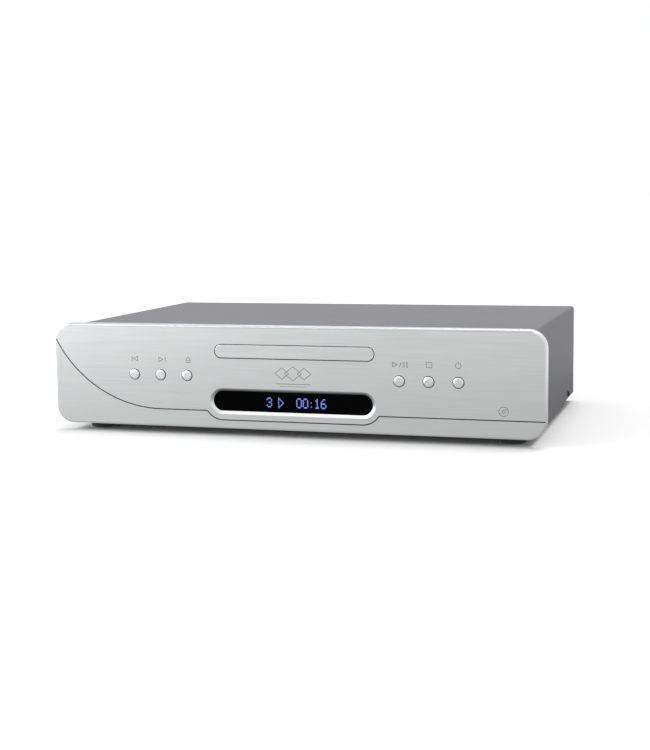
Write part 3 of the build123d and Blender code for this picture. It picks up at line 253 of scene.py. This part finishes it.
def over_groove(n, x, z):
    """mm above the panel's groove, negative below it."""
    straight = n.math("SUBTRACT", z, GROOVE_Z)
    up = n.math("SUBTRACT", z, GROOVE_Z + GROOVE_BEND)
    bend = n.math("SUBTRACT", GROOVE_BEND, n.length(n.math("SUBTRACT", x, GROOVE_BEND_X), up))
    in_bend = n.math("LESS_THAN", x, GROOVE_BEND_X)
    base = n.math("ADD", n.math("MULTIPLY", in_bend, bend),
                  n.math("MULTIPLY", n.math("SUBTRACT", 1.0, in_bend), straight))
    aside = n.math("ABSOLUTE", n.math("SUBTRACT", x, DIP_X))
    past = n.math("MAXIMUM", n.math("SUBTRACT", aside, DIP_HALF), 0.0)
    dip = n.math("SUBTRACT", DIP_R, n.length(past, n.math("SUBTRACT", z, DIP_Z)))
    return n.math("MAXIMUM", base, dip)


def panel_finish():
    """Horizontally brushed, clear anodised aluminium, satin below the groove, with painted shade that makes
    the groove and every gap near black.
    """
    n = Nodes("panel_aluminium")
    x, depth, z = n.in_mm(PANEL_ORIGIN)
    above = over_groove(n, x, z)
    aside = n.math("ABSOLUTE", x)
    hair = n.noise((22, 3200, 3200), 3.0, 0.6)
    line = n.noise((16, 1500, 1500), 2.0, 0.6, seed=(0.2, 0, 0.4))
    brush = n.blend(0.65, hair, line)
    contrast = n.span(brush, 0.34, 0.66)
    brushed = n.mix(contrast, (0.664, 0.671, 0.671), (0.722, 0.729, 0.731))
    satin = n.mix(contrast, (0.682, 0.688, 0.688), (0.709, 0.715, 0.716))
    # painted shade: dark marks the inside of the groove and of every gap (the tray slot and the button
    # holes), painted near black with the metal turned off
    groove_shade = n.every(
        n.math("LESS_THAN", n.math("ABSOLUTE", above), GROOVE_HALF),
        n.math("GREATER_THAN", depth, GROOVE_SHADE_DEPTH),
        n.math("LESS_THAN", aside, PANEL_RIM_X),
    )
    gap_shade = n.every(
        n.math("GREATER_THAN", depth, GAP_SHADE_DEPTH),
        n.math("LESS_THAN", aside, GAPS_X),
        n.math("GREATER_THAN", z, GAPS_LOW),
        n.math("LESS_THAN", z, GAPS_HIGH),
    )
    dark = n.math("MAXIMUM", groove_shade, gap_shade)
    # painted shade: the bevel over the window is painted darker towards the glass, and the top edge's
    # rounding is painted a shade duller than the face to dim its highlight
    bevel_shade = n.every(
        n.span(depth, BEVEL_START, BEVEL_DEPTH),
        n.span(z, DIP_Z, BEVEL_HIGH),
        n.math("LESS_THAN", aside, BEVEL_X),
    )
    metal = n.mix(n.span(above, -GROOVE_HALF, GROOVE_HALF), satin, brushed)
    tone = n.mix(bevel_shade, metal, (0.06, 0.06, 0.063))
    tone = n.mix(n.span(z, *TOP_EDGE), tone, (0.46, 0.46, 0.48))
    n.set(Base_Color=n.mix(dark, tone, (0.025, 0.025, 0.028)),
          Metallic=n.math("SUBTRACT", 1.0, dark), Roughness=n.varied(brush, 0.32, 0.42),
          Anisotropic=0.55)
    tangent = n.new("ShaderNodeTangent", direction_type="RADIAL", axis="Z")
    n.link(tangent.outputs[0], n.shader.inputs["Tangent"])
    n.bump(n.math("MULTIPLY", brush, n.span(above, -GROOVE_HALF, GROOVE_HALF, 0.35, 1.0)), 0.006 * MM)
    return n.material


def turned_finish(name, front):
    """Turned aluminium with fine rings round front, the middle of a button's face; painted shade makes the
    button near black inside its hole.
    """
    n = Nodes(name)
    x, depth, z = n.in_mm(front)
    rings = n.math("SINE", n.math("MULTIPLY", n.length(x, z), RING_RATE))
    grain = n.noise(1500, 3.0)
    turned = n.math("ADD", n.math("MULTIPLY", rings, 0.2), grain)
    # painted shade: dark marks the button deeper than BUTTON_SHADE_DEPTH behind its face, painted near black
    # with the metal turned off
    dark = n.math("GREATER_THAN", depth, BUTTON_SHADE_DEPTH)
    tone = n.mix(n.span(turned, 0.2, 0.8), (0.74, 0.745, 0.75), (0.86, 0.865, 0.87))
    n.set(Base_Color=n.mix(dark, tone, (0.05, 0.05, 0.052)), Metallic=n.math("SUBTRACT", 1.0, dark),
          Roughness=n.varied(grain, 0.26, 0.36))
    n.bump(turned, 0.006 * MM)
    return n.material


def pan_finish():
    """Zinc-plated steel inside, and painted shade on the underside: it is near black, so the floor under the
    case stays dark.
    """
    n = Nodes("base_pan_steel")
    grain = n.noise((700, 90, 700), 4.0)
    zinc = n.tone(n.noise(BLOTCHES, 2.0, seed=BLOTCH_SEED), (0.40, 0.41, 0.42), (0.55, 0.56, 0.57))
    # painted shade: the underside is near black so that little light bounces onto the floor beneath the case
    underside_shade = n.tone(grain, (0.012, 0.012, 0.013), (0.020, 0.020, 0.021))
    under = n.math("LESS_THAN", n.parts()[2], UNDERSIDE)
    n.set(Base_Color=n.mix(under, zinc, underside_shade), Metallic=n.span(under, 0.0, 1.0, 0.9, 0.0),
          Roughness=n.varied(grain, 0.36, 0.52))
    n.bump(grain, 0.01 * MM)
    return n.material


def board_finish():
    """Green solder mask over copper tracks that run in a grid, with a faint weave."""
    n = Nodes("circuit_board")
    tracks = n.new("ShaderNodeTexBrick", offset=0.5, squash=0.6)
    tracks.inputs["Scale"].default_value = 1.0
    tracks.inputs["Mortar Size"].default_value = 0.035
    tracks.inputs["Brick Width"].default_value = 0.9
    tracks.inputs["Row Height"].default_value = 0.32
    n.link(n.stretched((120, 120, 120)), tracks.inputs["Vector"])
    weave = n.noise(1500, 2.0)
    mask = n.tone(weave, (0.012, 0.105, 0.035), (0.018, 0.14, 0.05))
    n.set(Base_Color=n.mix(tracks.outputs["Fac"], mask, (0.03, 0.22, 0.08)),
          Roughness=n.varied(weave, 0.28, 0.38))
    n.bump(tracks.outputs["Fac"], 0.04 * MM)
    return n.material


def tape_finish():
    """Overlapping turns of yellow polyester tape round the transformer's ring."""
    n = Nodes("transformer_tape")
    lo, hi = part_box("toroidal_transformer")
    centre = [(a + b) / 2 for a, b in zip(lo, hi)]
    turn = n.new("ShaderNodeTexGradient", gradient_type="RADIAL")
    n.link(n.stretched((1, 1, 1), centre), turn.inputs["Vector"])
    laps = n.math("FRACT", n.math("MULTIPLY", turn.outputs["Fac"], TAPE_TURNS))
    grain = n.noise(600, 3.0)
    edge = n.math("LESS_THAN", laps, TAPE_EDGE)
    tape = n.tone(grain, (0.56, 0.40, 0.055), (0.66, 0.49, 0.09))
    n.set(Base_Color=n.mix(edge, tape, (0.36, 0.25, 0.03)), Roughness=n.varied(grain, 0.2, 0.34))
    n.bump(laps, 0.2 * MM, 0.6)
    return n.material


def sleeve_finish():
    """The dark blue, glossy shrink sleeve of a capacitor, streaked along its height."""
    n = Nodes("capacitor_sleeve")
    grain = n.noise((700, 700, 40), 3.0)
    n.set(Base_Color=n.tone(grain, (0.010, 0.016, 0.05), (0.018, 0.028, 0.085)),
          Roughness=n.varied(grain, 0.16, 0.3), Coat_Weight=0.3)
    n.bump(grain, 0.02 * MM)
    return n.material


# material: darkest and lightest colour, metallic, roughness from and to, grains per metre, bump in mm
GRAINED = {
    "cover_paint": ((0.086, 0.085, 0.094), (0.100, 0.099, 0.109), 0.35, (0.46, 0.56), 2600, 0.02),
    "zinc_steel": ((0.40, 0.41, 0.42), (0.55, 0.56, 0.57), 0.9, (0.34, 0.50), (700, 90, 700), 0.01),
    "rear_paint": ((0.018, 0.018, 0.020), (0.034, 0.034, 0.036), 0.0, (0.42, 0.56), 1500, 0.06),
    "window_acrylic": ((0.0006, 0.0006, 0.0008), (0.001, 0.001, 0.0013), 0.0, (0.035, 0.06), 300, 0.001),
    "display_glass": ((0.010, 0.016, 0.028), (0.016, 0.025, 0.040), 0.0, (0.05, 0.09), 300, 0.001),
    "chip_black": ((0.012, 0.012, 0.013), (0.030, 0.030, 0.031), 0.0, (0.40, 0.60), 900, 0.03),
    "loader_plastic": ((0.020, 0.020, 0.022), (0.032, 0.032, 0.035), 0.0, (0.42, 0.56), 1400, 0.05),
    "tray_plastic": ((0.030, 0.030, 0.033), (0.046, 0.046, 0.050), 0.0, (0.44, 0.58), 1600, 0.05),
    "gear_plastic": ((0.62, 0.60, 0.54), (0.74, 0.72, 0.66), 0.0, (0.30, 0.42), 500, 0.01),
    "motor_steel": ((0.50, 0.50, 0.50), (0.66, 0.66, 0.66), 1.0, (0.26, 0.40), (120, 120, 1400), 0.03),
    "rod_steel": ((0.66, 0.66, 0.67), (0.78, 0.78, 0.79), 1.0, (0.10, 0.20), (2000, 60, 2000), 0.004),
    "black_rubber": ((0.008, 0.008, 0.009), (0.018, 0.018, 0.020), 0.0, (0.62, 0.80), 900, 0.08),
    "screw_black": ((0.012, 0.012, 0.013), (0.035, 0.035, 0.036), 0.5, (0.30, 0.46), 1800, 0.03),
    "screw_zinc": ((0.48, 0.48, 0.45), (0.66, 0.66, 0.63), 1.0, (0.24, 0.40), 900, 0.03),
    "inlet_plastic": ((0.010, 0.010, 0.011), (0.020, 0.020, 0.021), 0.0, (0.34, 0.48), 1200, 0.04),
    "contact_brass": ((0.50, 0.43, 0.27), (0.66, 0.58, 0.38), 1.0, (0.20, 0.34), 700, 0.03),
    "socket_gold": ((0.66, 0.43, 0.13), (0.80, 0.55, 0.20), 1.0, (0.14, 0.26), (1400, 80, 1400), 0.01),
    "socket_plastic": ((0.60, 0.60, 0.57), (0.74, 0.74, 0.71), 0.0, (0.30, 0.40), 600, 0.03),
    "heat_sink_aluminium": ((0.02, 0.02, 0.021), (0.05, 0.05, 0.052), 0.8, (0.36, 0.5), (60, 60, 1600), 0.03),
    "lens_plastic": ((0.10, 0.13, 0.26), (0.16, 0.19, 0.34), 0.0, (0.03, 0.06), 200, 0.001),
    "ribbon_grey": ((0.40, 0.40, 0.42), (0.54, 0.54, 0.56), 0.0, (0.40, 0.50), (1600, 30, 1600), 0.06),
}
SHEEN = {
    "cover_paint": {"Specular_IOR_Level": 0.33},
    "window_acrylic": {"Specular_IOR_Level": 0.015},
    "gear_plastic": {"Subsurface_Weight": 0.08},
    "lens_plastic": {"Coat_Weight": 0.5},
}
FINISHES = {
    "panel_aluminium": panel_finish(),
    "circuit_board": board_finish(),
    "capacitor_sleeve": sleeve_finish(),
    "transformer_tape": tape_finish(),
}
for finish_name, (*recipe, bump_mm) in GRAINED.items():
    FINISHES[finish_name] = grained(finish_name, *recipe, bump_mm * MM, **SHEEN.get(finish_name, {}))


def finish_for(node, slot):
    """The buttons and the base pan have finishes of their own, and the other nodes their slot's finish."""
    if slot == "button_aluminium":
        lo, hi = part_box(node)
        front = ((lo[0] + hi[0]) / 2, lo[1], (lo[2] + hi[2]) / 2)
        return turned_finish(f"{slot}_{node}", front)
    if node == "base_pan":
        return pan_finish()
    return FINISHES[slot]


def wear_finish(node, finish):
    """Every slot of a CAD node's mesh gets the finish."""
    slots = NODES[node].material_slots
    if not slots:
        NODES[node].data.materials.append(finish)
    for slot in slots:
        slot.material = finish


for row in frame["record"]["subparts"]:
    wear_finish(row["node"], finish_for(row["node"], row["material_slot"]))


# ------------------------------------------------------------------ flat marks
def print_finish(name, tone):
    """Matt printing ink."""
    return grained(name, [c * 0.86 for c in tone], tone, 0.0, (0.45, 0.57), 2500, 0.004 * MM)


def lit_finish():
    """The display's blue light, slightly uneven."""
    n = Nodes("display_light")
    tone = n.tone(n.noise(1800, 2.0), (0.13, 0.20, 0.80), (0.18, 0.27, 0.95))
    n.set(Base_Color=(0.02, 0.03, 0.09), Roughness=0.5, Emission_Color=tone, Emission_Strength=1.0)
    return n.material


INK_THICKNESS = 0.03 * MM
STROKE = 0.5  # mm
MITRE_LIMIT = 0.35  # keeps a sharp corner from being drawn out too far
ARC_STEP, ARC_PIECES = 6, 12  # an arc has a piece for each step in degrees, and at least so many pieces


class Print:
    """Flat marks on an upright face: closed plates of one small thickness, drawn in mm across and up."""

    def __init__(self, origin, outward=-1.0):
        self.origin, self.out = Vector(origin), outward
        self.mesh = bmesh.new()

    def at(self, x, z, lift):
        """The point at x and z; seen from outside, x runs to the right."""
        return self.origin + Vector((-x * MM * self.out, self.out * lift, z * MM))

    def band(self, left, right, closed):
        """A plate between two rows of points; the rows' ends are closed off unless the band is a ring."""
        rows = []
        for lift in (INK_THICKNESS, 0.0):
            for side in (left, right):
                rows.append([self.mesh.verts.new(self.at(x, z, lift)) for x, z in side])
        top_l, top_r, low_l, low_r = rows
        count = len(left)
        for i in range(count if closed else count - 1):
            j = (i + 1) % count
            self.mesh.faces.new((top_l[i], top_l[j], top_r[j], top_r[i]))
            self.mesh.faces.new((low_l[j], low_l[i], low_r[i], low_r[j]))
            self.mesh.faces.new((low_l[i], low_l[j], top_l[j], top_l[i]))
            self.mesh.faces.new((low_r[j], low_r[i], top_r[i], top_r[j]))
        if not closed:
            self.mesh.faces.new((low_l[0], top_l[0], top_r[0], low_r[0]))
            self.mesh.faces.new((top_l[-1], low_l[-1], low_r[-1], top_r[-1]))

    def line(self, points, width=STROKE, closed=False):
        """A mitred line through points."""
        count = len(points)
        left, right = [], []
        for i, (x, z) in enumerate(points):
            before = points[i - 1] if i or closed else None
            after = points[(i + 1) % count] if i < count - 1 or closed else None
            ways = []
            for a, b in ((before, (x, z)), ((x, z), after)):
                if a is not None and b is not None:
                    reach = hypot(b[0] - a[0], b[1] - a[1])
                    ways.append(((b[0] - a[0]) / reach, (b[1] - a[1]) / reach))
            first, last = ways[0], ways[-1]
            normal = (-(first[1] + last[1]), first[0] + last[0])
            size = hypot(*normal)
            normal = (normal[0] / size, normal[1] / size)
            half = width / 2 / max(MITRE_LIMIT, normal[0] * -first[1] + normal[1] * first[0])
            left.append((x + normal[0] * half, z + normal[1] * half))
            right.append((x - normal[0] * half, z - normal[1] * half))
        self.band(left, right, closed)

    def outline(self, left, low, right, high, width=STROKE):
        """The outline of a rectangle."""
        self.line([(left, low), (right, low), (right, high), (left, high)], width, True)

    def ring(self, x, z, radius, width=STROKE, start=0.0, stop=360.0):
        """A ring, or the arc from start to stop in degrees."""
        whole = stop - start >= 360.0
        count = max(ARC_PIECES, int((stop - start) / ARC_STEP))
        spots = count if whole else count + 1
        turn = [radians(start + (stop - start) * i / count) for i in range(spots)]
        outer, inner = (
            [(x + cos(t) * r, z + sin(t) * r) for t in turn] for r in (radius + width / 2, radius - width / 2)
        )
        self.band(outer, inner, whole)

    def block(self, x, z, width, height):
        """A filled rectangle round x and z."""
        w, h = width / 2, height / 2
        self.band([(x - w, z + h), (x + w, z + h)], [(x - w, z - h), (x + w, z - h)], False)

    def done(self, name, finish, body):
        """The marks as one piece, which rides on body and wears the slot's finish."""
        mesh = bpy.data.meshes.new(name)
        bmesh.ops.recalc_face_normals(self.mesh, faces=self.mesh.faces[:])
        self.mesh.to_mesh(mesh)
        self.mesh.free()
        mesh.materials.append(finish)
        piece = add_object(name, mesh)
        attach(piece, body)


# ------------------------------------------------------------------ marks on the panel
# places measured on the photograph, in mm across from the panel's middle and up from its lower edge
def mark_previous(marks):
    """A bar, and a triangle that points at it."""
    marks.line([(-144.5, 57.2), (-144.5, 61.5)])
    marks.line([(-143.2, 59.35), (-139.3, 57.3), (-139.3, 61.4)], closed=True)


def mark_next(marks):
    """A triangle that points at a bar."""
    marks.line([(-118.9, 57.1), (-118.9, 61.2), (-115.0, 59.15)], closed=True)
    marks.line([(-112.8, 56.8), (-112.8, 61.5)])


def mark_eject(marks):
    """A triangle that points up, over a rule."""
    marks.line([(-93.2, 58.6), (-88.9, 58.6), (-91.05, 61.9)], closed=True)
    marks.line([(-93.6, 56.9), (-88.5, 56.9)])


def mark_play_pause(marks):
    """A triangle, a slanting stroke and two upright outlines."""
    marks.line([(92.6, 57.4), (92.6, 61.3), (96.4, 59.35)], closed=True)
    marks.line([(98.3, 57.2), (99.8, 61.4)])
    for x in (101.9, 104.6):
        marks.outline(x - 0.5, 57.4, x + 0.5, 61.3, STROKE * 0.8)


def mark_stop(marks):
    """A square."""
    marks.outline(121.1, 57.5, 125.8, 61.8)


def mark_standby(marks):
    """A ring that is open at the top, with a stroke in the opening."""
    marks.ring(147.9, 59.6, 2.3, start=116, stop=424)
    marks.line([(147.9, 60.2), (147.9, 63.2)])


def mark_emblem(marks):
    """A plain emblem between tray and window: three linked lozenges over two rules."""
    middle, height = 5.0, 49.4
    for offset, half in ((-10.0, 6.2), (0.0, 7.6), (10.0, 6.2)):
        x, rise = middle + offset, half * 0.8
        corners = [(x - half, height), (x, height + rise), (x + half, height), (x, height - rise)]
        marks.line(corners, closed=True)
    marks.block(middle, 40.4, 31.0, STROKE)
    marks.block(middle, 38.2, 24.0, STROKE * 0.8)


def mark_disc(marks):
    """A plain disc pictogram at the lower right."""
    x, z = 185.2, 22.8
    marks.ring(x, z, 3.9)
    marks.ring(x, z, 1.2)
    for start in (20, 200):
        marks.ring(x, z, 2.6, STROKE * 0.7, start, start + 50)


PANEL_INK = print_finish("panel_print", (0.130, 0.131, 0.133))
for draw in (mark_previous, mark_next, mark_eject, mark_play_pause, mark_stop, mark_standby, mark_emblem,
             mark_disc):
    panel_marks = Print(PANEL_ORIGIN)
    draw(panel_marks)
    panel_marks.done(draw.__name__, PANEL_INK, "case")

# ------------------------------------------------------------------ marks on the rear
# a ring round each phono socket, and rules under the sockets and round the mains inlet, in mm across from
# the middle, as seen from behind, and up from the floor
REAR_ORIGIN = (0, REAR, 0)
SOCKET_Z, SOCKET_RING, SOCKET_STROKE = 38.0, 7.6, 0.9
SOCKETS = {
    "mark_socket_digital": (-118.0, (0.55, 0.19, 0.02)),
    "mark_socket_left": (-146.0, (0.66, 0.66, 0.64)),
    "mark_socket_right": (-168.0, (0.42, 0.016, 0.016)),
}
for mark_name, (socket_x, ink) in SOCKETS.items():
    socket_mark = Print(REAR_ORIGIN, outward=1.0)
    socket_mark.ring(socket_x, SOCKET_Z, SOCKET_RING, SOCKET_STROKE)
    socket_mark.done(mark_name, print_finish(mark_name + "_ink", ink), "case")

RULE_LOW, RULE_HIGH = 26.6, 29.0
rear_rules = Print(REAR_ORIGIN, outward=1.0)
for left, right in ((-180.0, -134.0), (-126.0, -88.0)):
    rear_rules.line([(left, RULE_HIGH), (left, RULE_LOW), (right, RULE_LOW), (right, RULE_HIGH)])
rear_rules.outline(122.0, 27.0, 178.0, 57.0)
rear_rules.done("mark_rear_rules", print_finish("rear_print", (0.56, 0.56, 0.55)), "case")

# ------------------------------------------------------------------ lit characters on the window's face
PATTERNS = {
    "0": ("01110", "10001", "10001", "10001", "10001", "10001", "01110"),
    "1": ("00100", "01100", "00100", "00100", "00100", "00100", "01110"),
    "3": ("01110", "10001", "00001", "00110", "00001", "10001", "01110"),
    "6": ("00110", "01000", "10000", "11110", "10001", "10001", "01110"),
}
ROWS, COLUMNS = 7, 5
ROW_PITCH = 8.6 / ROWS
COLUMN_PITCH = 4.95 / COLUMNS
BASELINE = 19.6


def character(display, pattern, x, z):
    """A lit character of dots with its lower left corner at x, z."""
    for row, bits in enumerate(PATTERNS[pattern]):
        for column, bit in enumerate(bits):
            if bit == "1":
                across, up = x + (column + 0.5) * COLUMN_PITCH, z + (ROWS - row - 0.5) * ROW_PITCH
                display.block(across, up, COLUMN_PITCH * 0.9, ROW_PITCH * 0.88)


lit = Print((PANEL_X, GLASS, PANEL_Z))
for digit, digit_x in (("3", -19.8), ("0", 7.1), ("0", 12.8), ("1", 23.3), ("6", 28.9)):
    character(lit, digit, digit_x, BASELINE)
# the play arrow and the colon
lit.line([(-8.8, BASELINE), (-8.8, 27.8), (-4.5, 23.7)], 0.6, closed=True)
for dot_z in (21.0, 24.6):
    lit.block(20.4, dot_z, 0.85, 0.85)
lit.done("display_characters", lit_finish(), "case")


# ------------------------------------------------------------------ floor and light
def sheet(name, half, cells, finish):
    """A level square sheet round the origin, half its width given in metres."""
    mesh = bpy.data.meshes.new(name)
    grid = bmesh.new()
    bmesh.ops.create_grid(grid, x_segments=cells, y_segments=cells, size=half)
    grid.to_mesh(mesh)
    grid.free()
    mesh.materials.append(finish)
    return add_object(name, mesh)


paper = Nodes("floor_paper")
paper.set(Base_Color=(0.60, 0.60, 0.60), Roughness=0.9, Specular_IOR_Level=0.0)
floor = sheet("floor", half=60.0, cells=8, finish=paper.material)

world = bpy.data.worlds.new("studio")
world.use_nodes = True
world.node_tree.nodes["Background"].inputs["Color"].default_value = (1.0, 1.0, 1.0, 1.0)
world.node_tree.nodes["Background"].inputs["Strength"].default_value = 1.0
bpy.context.scene.world = world
bpy.context.scene.view_settings.view_transform = "Standard"


def lamp(name, kind, energy, place, aim, size, colour=(1, 1, 1)):
    """A lamp turned to aim; size is a sun's angle in radians, or the width of a round area lamp."""
    data = bpy.data.lights.new(name, kind)
    data.energy = energy
    data.color = colour
    if kind == "SUN":
        data.angle = size
    else:
        data.shape = "DISK"
        data.size = size
    light = add_object(name, data)
    light.location = place
    light.rotation_euler = (Vector(aim) - Vector(place)).to_track_quat("-Z", "Y").to_euler()


lamp("overhead", "SUN", energy=2.55, place=(0.3, 0.75, 3.0), aim=(0, 0, 0), size=radians(40))
lamp("left_front", "AREA", energy=33.0, place=(-1.45, -1.15, 0.68), aim=(0, -0.1, 0.05), size=1.3,
     colour=(0.97, 0.985, 1.0))

# a glowing grey card just over the floor, seen only in reflections, which gets darker towards its right end
CARD_PLACE = (-1.75, -1.85, 0.2 * MM)
CARD_HALF, FADE_FROM, FADE_TO = 2.15, 1.0, 2.05  # metres from its middle
grey = Nodes("card_grey")
fade = grey.span(grey.parts()[0], FADE_FROM, FADE_TO)
grey.set(Base_Color=(0, 0, 0), Roughness=1.0, Specular_IOR_Level=0.0,
         Emission_Color=grey.mix(fade, (0.66, 0.66, 0.66), (0.5, 0.5, 0.5)), Emission_Strength=1.0)
card = sheet("card", half=CARD_HALF, cells=2, finish=grey.material)
card.location = CARD_PLACE
for ray in ("camera", "diffuse", "transmission", "volume_scatter", "shadow"):
    setattr(card, "visible_" + ray, False)
